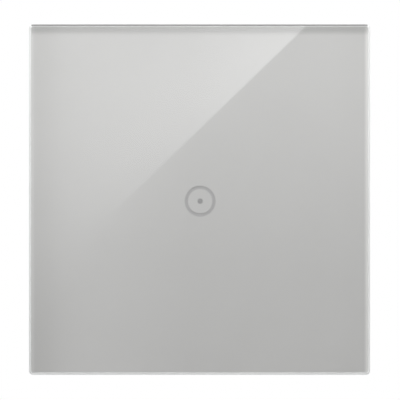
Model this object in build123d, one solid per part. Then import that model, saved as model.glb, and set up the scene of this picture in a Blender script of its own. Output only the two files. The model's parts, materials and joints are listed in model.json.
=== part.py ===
from build123d import *
import os
from math import cos, degrees, pi, radians, sqrt, tan

# A one-gang touch switch with a glass front, for a round wall box, in millimetres.
# X runs to the right, Z up, and -Y out of the wall towards the user.
# y = 0 is the back of the support plate, where it lies on the wall, and the origin is the middle
# between the two box screws.

# Glass front
glass_width = 88.0
glass_height = 90.4
glass_thickness = 4.0
glass_corner_radius = 1.0
glass_edge_chamfer = 0.5
print_thickness = 0.15
print_margin = 0.1
print_corner_least = 0.2
ring_outer_diameter = 8.0
ring_inner_diameter = 6.3
dot_diameter = 1.4
mark_x = 0.17
mark_z = -0.41

# Panel carrier and tape
tape_thickness = 0.4
tape_width = 9.0
tape_margin = 1.0
carrier_inset = 1.5
carrier_web = 1.5
carrier_wall = 1.5
carrier_corner_radius = 3.0
carrier_wall_gap = 0.3
pry_notch_width = 12.0
pry_notch_height = 2.0
carrier_rib = 1.2
carrier_rib_offset = 12.0
carrier_rib_clearance = 0.8

# Light mark parts
guide_disc_diameter = 9.0
guide_disc_thickness = 0.5
guide_clearance = 0.1
shroud_wall = 2.0
shroud_ledge = 0.4
electrode_width = 9.0
electrode_gap = 0.5
electrode_window_gap = 1.0
led_height = 0.6
led_length = 1.6
led_width = 0.8

# Touch board and its cover
touch_board_thickness = 1.0
touch_board_corner = 1.5
touch_part_height = 1.15
touch_part_gap = 0.3
cover_thickness = 1.0
cover_wall = 1.2
cover_plate_gap = 0.5
cover_claw_gap = 1.0
cover_screw_inset = 2.6
cover_boss_radius = 2.4
cover_screw_diameter = 2.0
cover_head_diameter = 3.6
cover_head_height = 0.85
cover_screw_web_left = 0.3
cover_cross_width = 0.5
cover_cross_depth = 0.45
cross_reach_share = 0.32
touch_chip_x = 9.0
touch_chip_z = 8.0
passive_length = 2.0
passive_width = 1.2
passive_height = 0.5
passive_gap_x = 2.0
passive_gap_z = 3.0
passive_columns = 5
passive_rows = 2
passive_x = -14.0
passive_z = 4.0

# Pin row between the boards
pin_count = 5
pin_pitch = 2.54
pin_side = 0.64
pin_row_z = -12.0
pin_reach = 1.9
socket_depth = 4.8
socket_hole_side = 0.95
pin_slot_margin = 0.8

# Support plate
plate_side = 71.0
plate_thickness = 1.0
plate_corner_radius = 5.0
plate_window_diameter = 34.0
box_screw_spacing = 60.0
box_slot_width = 3.8
box_slot_length = 9.0
relief_hole_diameter = 7.0
relief_hole_inset = 8.5
level_notch = 1.6
plate_screw_diameter = 2.5
plate_screw_head_diameter = 4.3
plate_screw_length = 9.0
plate_cross_width = 0.6
plate_cross_depth = 0.6
screw_clearance = 0.05

# Spring clips on the plate
clip_x = 32.4
clip_z = 20.0
clip_width = 6.0
clip_metal = 0.35
clip_reach = 3.0
clip_grip_gap = 0.1
clip_lip = 0.5
clip_foot = 2.0
grip_rib_length = 9.0

# Electronics housing, whose side and depth follow from what it holds
housing_wall = 1.5
housing_chamfer = 8.0
housing_edge_radius = 0.8
lid_thickness = 1.5
lid_boss_gap = 0.2
screw_boss_radius = 3.0
screw_boss_embed = 0.25
rear_panel_width = 8.0
rear_panel_height = 20.0
rear_panel_depth = 0.4
wire_funnel = 0.6
side_rib_width = 1.6
side_rib_depth = 1.8
side_rib_gap = 0.8
fit_gap = 0.1
board_side_gap = 0.3

# Power board and what stands on it
board_gap = 2.0
power_board_thickness = 1.6
wiring_room = 6.9
lid_post_diameter = 3.0
relay_width = 10.4
relay_length = 20.4
relay_height = 15.4
relay_wall = 0.8
relay_base_thickness = 1.2
relay_block_gap = 0.8
relay_inner_gap = 0.3
coil_z = 2.2
core_diameter = 3.4
bobbin_wall = 0.5
bobbin_flange = 0.8
bobbin_length = 7.6
winding_step = 0.3
pole_thickness = 1.0
pole_rim = 0.8
yoke_thickness = 1.0
yoke_gap = 0.2
yoke_side_gap = 0.9
pivot_gap = 0.3
armature_thickness = 1.0
armature_gap = 0.6
armature_yoke_gap = 0.2
armature_over_pole = 0.5
leaf_thickness = 0.25
leaf_width = 4.0
contact_diameter = 2.0
contact_height = 0.5
contact_gap = 1.0
contact_end_gap = 2.0
contact_metal = 0.5
leaf_over_coil = 2.0
capacitor_diameter = 5.2
capacitor_length = 11.0
capacitor_rim = 0.4
spare_part_gap = 1.0
film_width = 7.0
film_depth = 5.0
film_height = 9.0
film_corner = 0.5
film_x = -1.0
choke_diameter = 5.0
choke_length = 7.0
choke_flange = 0.8
choke_waist_diameter = 2.6
choke_wire = 0.45
fuse_length = 8.4
fuse_width = 4.0
fuse_corner = 1.2
fuse_top_gap = 1.3
varistor_top_gap = 0.7
varistor_thickness = 3.2
chip_length = 4.9
chip_width = 3.9
chip_height = 1.5
chip_leg_reach = 1.0
chip_leg_width = 0.4
chip_lift = 0.1
chip_legs = 4

# Terminals
terminal_pitch = 9.0
terminal_bore_diameter = 3.6
terminal_guide_length = 4.5
terminal_wall = 1.2
block_inner_wall = 0.9
block_outer_wall = 1.3
clamp_length = 7.6
clamp_floor = 1.0
clamp_roof = 1.6
clamp_side = 0.8
clamp_opening = 3.8
clamp_gap = 0.2
clamp_travel = 2.0
clamp_head_gap = 0.7
bar_thickness = 1.0
bar_width = 3.8
bar_tail_width = 1.4
bar_tail = 1.2
terminal_screw_diameter = 3.0
terminal_head_diameter = 5.0
terminal_head_height = 1.6
terminal_slot_width = 0.8
terminal_slot_depth = 0.8
driver_hole_diameter = 4.0
housing_driver_hole_diameter = 4.6
wire_window_diameter = 4.6
screw_pitch = 0.5

# Claws
claw_screw_z = 26.5
claw_pivot_z = 20.5
claw_pivot_y = 3.6
claw_pin_diameter = 2.0
claw_hub_diameter = 4.0
claw_width = 10.0
claw_arm_thickness = 1.5
claw_short_reach = 3.4
claw_long_reach = 20.4
claw_tooth_height = 2.6
claw_tooth_pitch = 2.2
claw_tooth_count = 2
claw_tooth_slope = 0.75
claw_slot_play = 0.6
claw_side_gap = 0.3
claw_screw_diameter = 3.0
claw_screw_length = 12.0
claw_head_diameter = 5.0
claw_head_height = 1.6
claw_nut_nose = 2.0
claw_nut_back = 2.6
claw_nut_width = 6.0
claw_nut_gap = 0.15
claw_screw_turns = 3
claw_cross_width = 0.7
claw_cross_depth = 1.0
lug_thickness = 1.0
lug_margin = 1.2
pocket_gap = 0.4

# The touch board and its cover lie between the heads of the two claw screws
touch_board_side = 2 * (claw_screw_z - claw_head_diameter / 2 - cover_claw_gap)

# Layers of the panel, counted out of the wall from the plate
plate_front = -plate_thickness
cover_back = plate_front - cover_plate_gap
cover_floor = cover_back - cover_thickness
touch_board_back = cover_floor - touch_part_gap - touch_part_height
touch_board_front = touch_board_back - touch_board_thickness
web_front = touch_board_front - carrier_web
print_back = web_front - tape_thickness
glass_back = print_back - print_thickness
glass_front = glass_back - glass_thickness

# Layers behind the plate
lid_back = lid_thickness
board_front = lid_back + board_gap
board_back = board_front + power_board_thickness
chamber_front = board_back + wiring_room
clamp_front = chamber_front + clamp_gap
clamp_back = clamp_front + clamp_length
chamber_back = clamp_back + clamp_gap
terminal_screw_y = (clamp_front + clamp_back) / 2
housing_floor = chamber_back + terminal_guide_length
housing_depth = housing_floor + housing_wall

# Claw pocket of the housing
lug_inner = claw_width / 2 + claw_side_gap
lug_outer = lug_inner + lug_thickness
pocket_half = lug_outer + pocket_gap
pocket_floor = claw_pivot_z - claw_hub_diameter / 2 - pocket_gap

# Terminal places along X, from the relay outwards to the side wall
block_inner = relay_width / 2 + relay_block_gap
chamber_inner_x = block_inner + block_inner_wall
clamp_inner_x = chamber_inner_x + clamp_gap
clamp_floor_x = clamp_inner_x + clamp_floor
bar_inner = clamp_floor_x + clamp_opening
bar_outer = bar_inner + bar_thickness
wire_x = bar_inner - clamp_opening / 2
clamp_roof_x = bar_outer + clamp_gap
clamp_outer_x = clamp_roof_x + clamp_roof
head_inner = clamp_outer_x + clamp_travel + clamp_head_gap
head_outer = head_inner + terminal_head_height
chamber_outer_x = head_outer + fit_gap
block_outer = chamber_outer_x + block_outer_wall
housing_inner = block_outer + fit_gap
housing_side = 2 * (housing_inner + housing_wall)
clamp_width = bar_width + 2 * clamp_gap + 2 * clamp_side
chamber_width = clamp_width + 2 * clamp_gap
block_half_length = terminal_pitch / 2 + chamber_width / 2 + terminal_wall

# The housing's screw posts stand in its cut corners
corner_reach = (housing_side - housing_chamfer) / 2
plate_screw_offset = corner_reach - (housing_wall + screw_boss_radius - screw_boss_embed) / sqrt(2)

# Turns, travels and angles of the coupled motions
terminal_turns = clamp_travel / screw_pitch
claw_nut_travel = claw_screw_turns * screw_pitch
claw_lever = claw_screw_z - claw_pivot_z
nose_reach = claw_arm_thickness / 2 + claw_nut_gap + claw_nut_nose


def slab(outline, y_front, y_back):
    """An outline in X and Z, given a thickness along Y."""
    return extrude(Plane.XZ.offset(-y_back) * outline, y_back - y_front)


def box_between(x, y, z):
    """A box between the two limits given for each direction."""
    size = [abs(pair[1] - pair[0]) for pair in (x, y, z)]
    middle = [(pair[0] + pair[1]) / 2 for pair in (x, y, z)]
    return Pos(*middle) * Box(*size)


def rod_y(diameter, y_front, y_back, x=0.0, z=0.0):
    """A round rod along Y."""
    middle = (y_front + y_back) / 2
    return Pos(x, middle, z) * Rot(90, 0, 0) * Cylinder(diameter / 2, y_back - y_front)


def rod_x(diameter, x_start, x_end, y, z):
    """A round rod along X."""
    middle = (x_start + x_end) / 2
    return Pos(middle, y, z) * Rot(0, 90, 0) * Cylinder(diameter / 2, abs(x_end - x_start))


def ring_y(outer, inner, y_front, y_back, x=0.0, z=0.0):
    """A round ring about an axis along Y."""
    return slab(Pos(x, z) * (Circle(outer / 2) - Circle(inner / 2)), y_front, y_back)


def group(solids):
    """Separate solids of one node."""
    return Compound(children=[part.solid() for part in solids])


def corners(offset):
    """The four places at plus and minus an offset."""
    return [(sx * offset, sz * offset) for sx in (-1, 1) for sz in (-1, 1)]


def cross_slot(reach, width, y_front, y_back, x, z):
    """The cross cut in a screw head."""
    half = width / 2
    slot = box_between((x - reach, x + reach), (y_front, y_back), (z - half, z + half))
    return slot + box_between((x - half, x + half), (y_front, y_back), (z - reach, z + reach))


def edges_at(part, y):
    """The edges of a part that lie in the plane at this y."""
    return part.edges().filter_by(lambda edge: all(abs(v.Y - y) < 1e-4 for v in edge.vertices()))


# Glass, print and mark

def make_glass_panel():
    outline = RectangleRounded(glass_width, glass_height, glass_corner_radius)
    glass = slab(outline, glass_front, glass_back)
    edges = glass.faces().sort_by(Axis.Y)[0].edges() + glass.faces().sort_by(Axis.Y)[-1].edges()
    return chamfer(edges, glass_edge_chamfer)


def make_silver_print():
    inset = glass_edge_chamfer + print_margin
    corner_radius = max(glass_corner_radius - inset, print_corner_least)
    sheet = RectangleRounded(glass_width - 2 * inset, glass_height - 2 * inset, corner_radius)
    sheet -= Pos(mark_x, mark_z) * Circle(ring_outer_diameter / 2)
    island = ring_y(ring_inner_diameter, dot_diameter, glass_back, print_back, mark_x, mark_z)
    return group([slab(sheet, glass_back, print_back), island])


def make_adhesive_tape():
    width = glass_width - 2 * (carrier_inset + tape_margin)
    height = glass_height - 2 * (carrier_inset + tape_margin)
    tape = RectangleRounded(width, height, carrier_corner_radius)
    tape -= RectangleRounded(width - 2 * tape_width, height - 2 * tape_width, carrier_corner_radius)
    return slab(tape, print_back, web_front)


guide_back = touch_board_front - led_height - guide_clearance
guide_disc_front = guide_back - guide_disc_thickness
shroud_bore = guide_disc_diameter + 2 * guide_clearance
shroud_diameter = shroud_bore + 2 * shroud_wall
electrode_bore = shroud_diameter + 2 * electrode_gap
electrode_diameter = electrode_bore + 2 * electrode_width
electrode_window = electrode_diameter + 2 * electrode_window_gap


def make_light_guide():
    guide = rod_y(guide_disc_diameter, guide_disc_front, guide_back, mark_x, mark_z)
    guide += ring_y(ring_outer_diameter, ring_inner_diameter, print_back, guide_disc_front, mark_x, mark_z)
    guide += rod_y(dot_diameter, print_back, guide_disc_front, mark_x, mark_z)
    return guide


def make_light_shroud():
    shroud = ring_y(shroud_diameter, shroud_bore, print_back, guide_back, mark_x, mark_z)
    ledge_bore = shroud_bore - 2 * shroud_ledge
    return shroud + ring_y(shroud_diameter, ledge_bore, guide_back, touch_board_front, mark_x, mark_z)


def make_touch_electrode():
    return ring_y(electrode_diameter, electrode_bore, print_back, touch_board_front, mark_x, mark_z)


# Carrier

carrier_width = glass_width - 2 * carrier_inset
carrier_height = glass_height - 2 * carrier_inset
rib_back = plate_front - carrier_rib_clearance
cover_screw_offset = touch_board_side / 2 - cover_screw_inset
cover_screw_tip = web_front + cover_screw_web_left


def make_panel_carrier():
    outside = RectangleRounded(carrier_width, carrier_height, carrier_corner_radius)
    inside = RectangleRounded(
        carrier_width - 2 * carrier_wall,
        carrier_height - 2 * carrier_wall,
        carrier_corner_radius - carrier_wall,
    )
    carrier = slab(outside, web_front, -carrier_wall_gap)
    carrier -= slab(inside, touch_board_front, -carrier_wall_gap)
    board_edge = touch_board_side / 2 + carrier_rib
    inner_x = carrier_width / 2 - carrier_wall / 2
    inner_z = carrier_height / 2 - carrier_wall / 2
    rib_y = (touch_board_front - carrier_web / 2, rib_back)
    for side in (-1, 1):
        for place in (-carrier_rib_offset, carrier_rib_offset):
            across = (place - carrier_rib / 2, place + carrier_rib / 2)
            carrier += box_between((side * board_edge, side * inner_x), rib_y, across)
            carrier += box_between(across, rib_y, (side * board_edge, side * inner_z))
    for side in (-1, 1):
        for end in (-1, 1):
            grip_x = (side * clip_x - carrier_rib / 2, side * clip_x + carrier_rib / 2)
            grip_z = (end * clip_z - grip_rib_length / 2, end * clip_z + grip_rib_length / 2)
            carrier += box_between(grip_x, rib_y, grip_z)
    rim_z = (-carrier_height / 2, -carrier_height / 2 + carrier_wall)
    notch_y = (-carrier_wall_gap - pry_notch_height, -carrier_wall_gap)
    carrier -= box_between((-pry_notch_width / 2, pry_notch_width / 2), notch_y, rim_z)
    carrier -= rod_y(electrode_window, web_front, touch_board_front, mark_x, mark_z)
    for x, z in corners(cover_screw_offset):
        carrier -= rod_y(cover_screw_diameter, cover_screw_tip, touch_board_front, x, z)
    return carrier


# Touch board, its parts and cover

def make_touch_board():
    board = RectangleRounded(touch_board_side, touch_board_side, touch_board_corner)
    for x, z in corners(cover_screw_offset):
        board -= Pos(x, z) * Circle(cover_screw_diameter / 2)
    return slab(board, touch_board_front, touch_board_back)


def chip_with_legs(board_y, height):
    """A small flat chip on the rear of a board, with its legs along both long sides."""
    length_x = (-chip_length / 2, chip_length / 2)
    chip = box_between(length_x, (board_y + chip_lift, board_y + height), (-chip_width / 2, chip_width / 2))
    leg_pitch = chip_length / chip_legs
    span = chip_width / 2 + chip_leg_reach
    for number in range(chip_legs):
        leg_x = -chip_length / 2 + (number + 0.5) * leg_pitch
        leg = (leg_x - chip_leg_width / 2, leg_x + chip_leg_width / 2)
        chip += box_between(leg, (board_y, board_y + 2 * chip_lift), (-span, span))
    return chip


def make_touch_chip():
    return Pos(touch_chip_x, 0, touch_chip_z) * chip_with_legs(touch_board_back, touch_part_height)


def make_indicator_leds():
    reach = (ring_outer_diameter + ring_inner_diameter) / 4
    leds = []
    for shift in (-reach, 0.0, reach):
        x = mark_x + shift
        led_x = (x - led_width / 2, x + led_width / 2)
        led_y = (touch_board_front - led_height, touch_board_front)
        leds.append(box_between(led_x, led_y, (mark_z - led_length / 2, mark_z + led_length / 2)))
    return group(leds)


def make_touch_board_passives():
    parts = []
    part_y = (touch_board_back, touch_board_back + passive_height)
    for column in range(passive_columns):
        for row in range(passive_rows):
            x = passive_x + column * (passive_width + passive_gap_x)
            z = passive_z + row * (passive_length + passive_gap_z)
            parts.append(box_between((x, x + passive_width), part_y, (z, z + passive_length)))
    return group(parts)


def pin_places():
    return [(number - (pin_count - 1) / 2) * pin_pitch for number in range(pin_count)]


socket_length = pin_count * pin_pitch
pin_front = cover_back - pin_reach


def make_board_socket():
    half = socket_length / 2
    socket_z = (pin_row_z - socket_depth / 2, pin_row_z + socket_depth / 2)
    socket = box_between((-half, half), (touch_board_back, cover_back), socket_z)
    hole = socket_hole_side / 2
    for x in pin_places():
        hole_z = (pin_row_z - hole, pin_row_z + hole)
        socket -= box_between((x - hole, x + hole), (pin_front - fit_gap, cover_back), hole_z)
    return socket


def make_board_cover():
    outside = RectangleRounded(touch_board_side, touch_board_side, touch_board_corner)
    inner_side = touch_board_side - 2 * cover_wall
    cover = slab(outside, touch_board_back, cover_back)
    cover -= slab(Rectangle(inner_side, inner_side), touch_board_back, cover_floor)
    for x, z in corners(cover_screw_offset):
        cover += rod_y(2 * cover_boss_radius, touch_board_back, cover_floor, x, z)
    for x, z in corners(cover_screw_offset):
        cover -= rod_y(cover_screw_diameter, touch_board_back, cover_back, x, z)
        cover -= rod_y(cover_head_diameter + 2 * fit_gap, cover_back - cover_head_height, cover_back, x, z)
    window = Rectangle(socket_length + 2 * fit_gap, socket_depth + 2 * fit_gap)
    cover -= slab(Pos(0, pin_row_z) * window, cover_floor, cover_back)
    return cover


def make_cover_screws():
    screws = []
    for x, z in corners(cover_screw_offset):
        head_front = cover_back - cover_head_height
        screw = rod_y(cover_head_diameter, head_front, cover_back, x, z)
        screw += rod_y(cover_screw_diameter, cover_screw_tip, head_front, x, z)
        slot_front = cover_back - cover_cross_depth
        reach = cross_reach_share * cover_head_diameter
        screw -= cross_slot(reach, cover_cross_width, slot_front, cover_back, x, z)
        screws.append(screw)
    return group(screws)


# Support plate

def claw_windows():
    """The openings that the claw ears are bent out of."""
    height = claw_hub_diameter
    windows = Sketch()
    for side in (-1, 1):
        windows += Pos(0, side * claw_pivot_z) * Rectangle(2 * lug_inner, height)
    return windows


def make_support_plate():
    plate = RectangleRounded(plate_side, plate_side, plate_corner_radius)
    plate -= Circle(plate_window_diameter / 2)
    plate -= claw_windows()
    for side in (-1, 1):
        plate -= Pos(side * box_screw_spacing / 2, 0) * SlotOverall(box_slot_length, box_slot_width)
        plate -= Pos(0, side * claw_screw_z) * Circle(claw_screw_diameter / 2 + screw_clearance)
    for x, z in corners(plate_side / 2 - relief_hole_inset):
        plate -= Pos(x, z) * Circle(relief_hole_diameter / 2)
    for angle in (0, 90, 180, 270):
        notch = Polygon((-level_notch, 0), (0, -level_notch), (level_notch, 0), align=None)
        plate -= Rot(0, 0, angle) * Pos(0, plate_side / 2) * notch
    metal = slab(plate, plate_front, 0)
    for x, z in corners(plate_screw_offset):
        metal -= countersunk(plate_screw_head_diameter, plate_screw_diameter, plate_front, lid_back, x, z)
    return metal + claw_ears()


def countersunk(head, shank, y_front, y_back, x, z):
    """A countersunk screw shape: a cone of 90 degrees, then the shank."""
    depth = (head - shank) / 2
    cone = Pos(x, y_front + depth / 2, z) * Rot(-90, 0, 0) * Cone(head / 2, shank / 2, depth)
    return cone + rod_y(shank, y_front + depth / 2, y_back, x, z)


def claw_ears():
    """The two ears of each claw, bent back from the plate."""
    ears = Part()
    ear_half = claw_pin_diameter / 2 + lug_margin
    for side in (-1, 1):
        for end in (-1, 1):
            ear_x = (side * lug_inner, side * lug_outer)
            middle = end * claw_pivot_z
            ear = box_between(ear_x, (plate_front, claw_pivot_y), (middle - ear_half, middle + ear_half))
            ear += rod_x(2 * ear_half, *ear_x, claw_pivot_y, middle)
            ear -= rod_x(claw_pin_diameter, *ear_x, claw_pivot_y, middle)
            ears += ear
    return ears


def make_retaining_clips():
    """Four bent spring clips, each gripping a rib of the carrier between two leaves."""
    clips = []
    half_gap = carrier_rib / 2 + clip_grip_gap
    foot_back = plate_front
    foot_front = plate_front - clip_metal
    tip = plate_front - clip_reach
    bend = tip + 2 * clip_lip
    for side in (-1, 1):
        for end in (-1, 1):
            half = [
                (half_gap, foot_front),
                (half_gap, bend),
                (half_gap + clip_lip, tip),
                (half_gap + clip_lip + clip_metal, tip),
                (half_gap + clip_metal, bend),
                (half_gap + clip_metal, foot_back),
            ]
            outline = half + [(-x, y) for x, y in reversed(half)]
            low = end * clip_z - clip_width / 2
            clip = Pos(side * clip_x, 0, low) * extrude(Polygon(*outline, align=None), clip_width)
            foot_x = (side * (clip_x - half_gap - clip_foot), side * clip_x)
            clip += box_between(foot_x, (foot_front, foot_back), (low, low + clip_width))
            clips.append(clip)
    return group(clips)


def make_plate_screws():
    screws = []
    for x, z in corners(plate_screw_offset):
        tip = plate_front + plate_screw_length
        screw = countersunk(plate_screw_head_diameter, plate_screw_diameter, plate_front, tip, x, z)
        slot_back = plate_front + plate_cross_depth
        reach = cross_reach_share * plate_screw_head_diameter
        screws.append(screw - cross_slot(reach, plate_cross_width, plate_front, slot_back, x, z))
    return group(screws)


# Electronics housing

def housing_outline(inset):
    """The housing seen from the front, with its corners cut and a pocket for each claw."""
    side = housing_side - 2 * inset
    square = Rectangle(side, side)
    outline = chamfer(square.vertices(), housing_chamfer - (2 - sqrt(2)) * inset)
    top = housing_side / 2
    floor = pocket_floor - inset
    for end in (-1, 1):
        pocket = Rectangle(2 * (pocket_half + inset), top - floor)
        outline -= Pos(0, end * (top + floor) / 2) * pocket
    return outline


def make_housing_lid():
    lid = slab(housing_outline(0), 0, lid_back)
    lid += rod_y(plate_window_diameter - 2 * lid_boss_gap, plate_front, 0)
    slot = Rectangle(socket_length + 2 * pin_slot_margin, pin_side + 2 * pin_slot_margin)
    lid -= slab(Pos(0, pin_row_z) * slot, plate_front, lid_back)
    for x, z in corners(plate_screw_offset):
        lid -= rod_y(plate_screw_diameter, 0, lid_back, x, z)
    for x, z in lid_post_places():
        lid += rod_y(lid_post_diameter, lid_back, board_front, x, z)
    return lid


rib_low = block_half_length + side_rib_gap
rib_high = rib_low + side_rib_width
rib_inner = housing_inner - side_rib_depth


def lid_post_places():
    post_x = housing_inner - board_side_gap - lid_post_diameter / 2
    post_z = (rib_low + rib_high) / 2
    return [(sx * post_x, sz * post_z) for sx in (-1, 1) for sz in (-1, 1)]


def make_rear_housing():
    outer = slab(housing_outline(0), lid_back, housing_depth)
    rim = outer.faces().sort_by(Axis.Y)[-1].edges()
    outer = fillet(rim, housing_edge_radius)
    housing = outer - slab(housing_outline(housing_wall), lid_back, housing_floor)
    for x, z in corners(plate_screw_offset):
        housing += rod_y(2 * screw_boss_radius, lid_back, housing_floor, x, z)
    for side in (-1, 1):
        for end in (-1, 1):
            rib_x = (side * rib_inner, side * (housing_inner + housing_wall / 2))
            housing += box_between(rib_x, (board_back, housing_floor), (end * rib_low, end * rib_high))
    for x, z in corners(plate_screw_offset):
        housing -= rod_y(plate_screw_diameter, lid_back, plate_front + plate_screw_length, x, z)
    for side, end in terminal_places():
        wire_z = end * terminal_pitch / 2
        housing -= rod_y(wire_window_diameter, housing_floor, housing_depth, side * wire_x, wire_z)
        funnel = Cone(wire_window_diameter / 2, wire_window_diameter / 2 + wire_funnel, wire_funnel)
        housing -= Pos(side * wire_x, housing_depth - wire_funnel / 2, wire_z) * Rot(-90, 0, 0) * funnel
        wall = (side * housing_inner, side * housing_side / 2)
        housing -= rod_x(housing_driver_hole_diameter, *wall, terminal_screw_y, wire_z)
    panel = RectangleRounded(rear_panel_width, rear_panel_height, housing_edge_radius)
    return housing - slab(panel, housing_depth - rear_panel_depth, housing_depth)


# Power board and its parts

def terminal_places():
    """Left top, left bottom, right top, right bottom: the terminals 1 to 4."""
    return [(-1, 1), (-1, -1), (1, 1), (1, -1)]


board_x = housing_inner - board_side_gap
board_z = pocket_floor - housing_wall - board_side_gap
board_step = plate_screw_offset - screw_boss_radius - board_side_gap


def make_power_board():
    board = Rectangle(2 * board_x, 2 * board_step) + Rectangle(2 * board_step, 2 * board_z)
    board = slab(board, board_front, board_back)
    for side, end in terminal_places():
        wire_z = end * terminal_pitch / 2
        tail_z = (wire_z - bar_tail_width / 2, wire_z + bar_tail_width / 2)
        board -= box_between((side * bar_inner, side * bar_outer), (board_front, board_back), tail_z)
    half = pin_side / 2
    for x in pin_places():
        pin_z = (pin_row_z - half, pin_row_z + half)
        board -= box_between((x - half, x + half), (board_front, board_back), pin_z)
    return board


def make_board_pins():
    pins = []
    half = pin_side / 2
    for x in pin_places():
        pin_z = (pin_row_z - half, pin_row_z + half)
        pins.append(box_between((x - half, x + half), (pin_front, board_back), pin_z))
    return group(pins)


relay_top = board_back + relay_height
relay_floor = board_back + relay_base_thickness
yoke_base_top = relay_floor + yoke_thickness
bobbin_top = yoke_base_top + bobbin_length
bobbin_flange_width = relay_width - 2 * (relay_wall + relay_inner_gap)
winding_diameter = bobbin_flange_width - 2 * winding_step
pole_diameter = core_diameter + 2 * pole_rim
yoke_width = relay_width - 2 * (relay_wall + yoke_side_gap)
pole_front = bobbin_top
pole_back = pole_front + pole_thickness
armature_front = pole_back + armature_gap
armature_back = armature_front + armature_thickness
yoke_top = armature_front - armature_yoke_gap
yoke_leg_low = coil_z + bobbin_flange_width / 2 + yoke_gap
yoke_leg_high = yoke_leg_low + yoke_thickness
armature_pivot_z = yoke_leg_high + pivot_gap
armature_pivot_y = (armature_front + armature_back) / 2
contact_z = -(relay_length / 2 - relay_wall - contact_end_gap)
moving_contact_front = armature_back - contact_height
fixed_contact_top = moving_contact_front - contact_gap


def make_relay_base():
    width = relay_width / 2 - relay_wall
    length = relay_length / 2 - relay_wall
    return box_between((-width, width), (board_back, relay_floor), (-length, length))


def make_relay_case():
    case = slab(RectangleRounded(relay_width, relay_length, relay_wall), board_back, relay_top)
    inside = Rectangle(relay_width - 2 * relay_wall, relay_length - 2 * relay_wall)
    return case - slab(inside, board_back, relay_top - relay_wall)


def make_relay_yoke():
    half = yoke_width / 2
    low = coil_z - bobbin_flange_width / 2
    yoke = box_between((-half, half), (relay_floor, yoke_base_top), (low, yoke_leg_high))
    yoke += box_between((-half, half), (relay_floor, yoke_top), (yoke_leg_low, yoke_leg_high))
    return yoke - rod_y(core_diameter, relay_floor, yoke_base_top, 0, coil_z)


def make_relay_core():
    core = rod_y(core_diameter, relay_floor, pole_front, 0, coil_z)
    return core + rod_y(pole_diameter, pole_front, pole_back, 0, coil_z)


def make_relay_bobbin():
    flange = Rectangle(bobbin_flange_width, bobbin_flange_width)
    bobbin = rod_y(core_diameter + 2 * bobbin_wall, yoke_base_top, bobbin_top, 0, coil_z)
    bobbin += slab(Pos(0, coil_z) * flange, yoke_base_top, yoke_base_top + bobbin_flange)
    bobbin += slab(Pos(0, coil_z) * flange, bobbin_top - bobbin_flange, bobbin_top)
    return bobbin - rod_y(core_diameter, yoke_base_top, bobbin_top, 0, coil_z)


def make_relay_winding():
    bore = core_diameter + 2 * bobbin_wall
    low = yoke_base_top + bobbin_flange
    high = bobbin_top - bobbin_flange
    return ring_y(winding_diameter, bore, low, high, 0, coil_z)


def make_relay_fixed_contact():
    half = leaf_width / 2
    low = contact_z - contact_diameter / 2
    shelf_top = fixed_contact_top - contact_height
    post = box_between((-half, half), (relay_floor, shelf_top), (low - contact_metal, low))
    shelf_z = (low - contact_metal, low + contact_diameter)
    post += box_between((-half, half), (shelf_top - contact_metal, shelf_top), shelf_z)
    return post + rod_y(contact_diameter, shelf_top, fixed_contact_top, 0, contact_z)


def make_relay_armature():
    half = yoke_width / 2
    low = coil_z - pole_diameter / 2 - armature_over_pole
    return box_between((-half, half), (armature_front, armature_back), (low, armature_pivot_z))


def make_relay_contact_leaf():
    half = leaf_width / 2
    low = contact_z - contact_diameter / 2
    leaf_y = (armature_back, armature_back + leaf_thickness)
    leaf = box_between((-half, half), leaf_y, (low, coil_z + leaf_over_coil))
    return leaf + rod_y(contact_diameter, moving_contact_front, armature_back, 0, contact_z)


spare_z = (relay_length / 2 + board_z) / 2


def make_electrolytic_capacitor():
    place = -(capacitor_diameter / 2 + spare_part_gap)
    can = rod_y(capacitor_diameter, board_back, board_back + capacitor_length, place, spare_z)
    return fillet(edges_at(can, board_back + capacitor_length), capacitor_rim)


def make_film_capacitor():
    outline = Pos(film_x, -spare_z) * RectangleRounded(film_width, film_depth, film_corner)
    return slab(outline, board_back, board_back + film_height)


def choke_place():
    return choke_diameter / 2 + spare_part_gap


def make_choke_core():
    end = board_back + choke_length
    core = rod_y(choke_waist_diameter, board_back, end, choke_place(), spare_z)
    core += rod_y(choke_diameter, board_back, board_back + choke_flange, choke_place(), spare_z)
    return core + rod_y(choke_diameter, end - choke_flange, end, choke_place(), spare_z)


def make_choke_winding():
    low = board_back + choke_flange
    high = board_back + choke_length - choke_flange
    return ring_y(choke_diameter - choke_wire, choke_waist_diameter, low, high, choke_place(), spare_z)


side_middle = (bar_outer + board_x) / 2


def make_fuse():
    outline = Pos(side_middle, 0) * RectangleRounded(fuse_width, fuse_length, fuse_corner)
    return slab(outline, board_back, chamber_front - fuse_top_gap)


def make_varistor():
    half = varistor_thickness / 2
    diameter = wiring_room - varistor_top_gap
    return rod_x(diameter, -side_middle - half, -side_middle + half, board_back + diameter / 2, 0)


def make_control_chip():
    place = (relay_width / 2 + bar_inner) / 2
    return Pos(place, 0, 0) * Rot(0, 90, 0) * chip_with_legs(board_back, chip_height)


# Terminals

def make_terminal_block(side):
    x = (side * block_inner, side * block_outer)
    block = box_between(x, (chamber_front, housing_floor), (-block_half_length, block_half_length))
    for end in (-1, 1):
        middle = end * terminal_pitch / 2
        chamber_x = (side * chamber_inner_x, side * chamber_outer_x)
        chamber_z = (middle - chamber_width / 2, middle + chamber_width / 2)
        block -= box_between(chamber_x, (chamber_front, chamber_back), chamber_z)
        block -= rod_y(terminal_bore_diameter, chamber_back, housing_floor, side * wire_x, middle)
        hole_x = (side * chamber_outer_x, side * block_outer)
        block -= rod_x(driver_hole_diameter, *hole_x, terminal_screw_y, middle)
    return block


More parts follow.
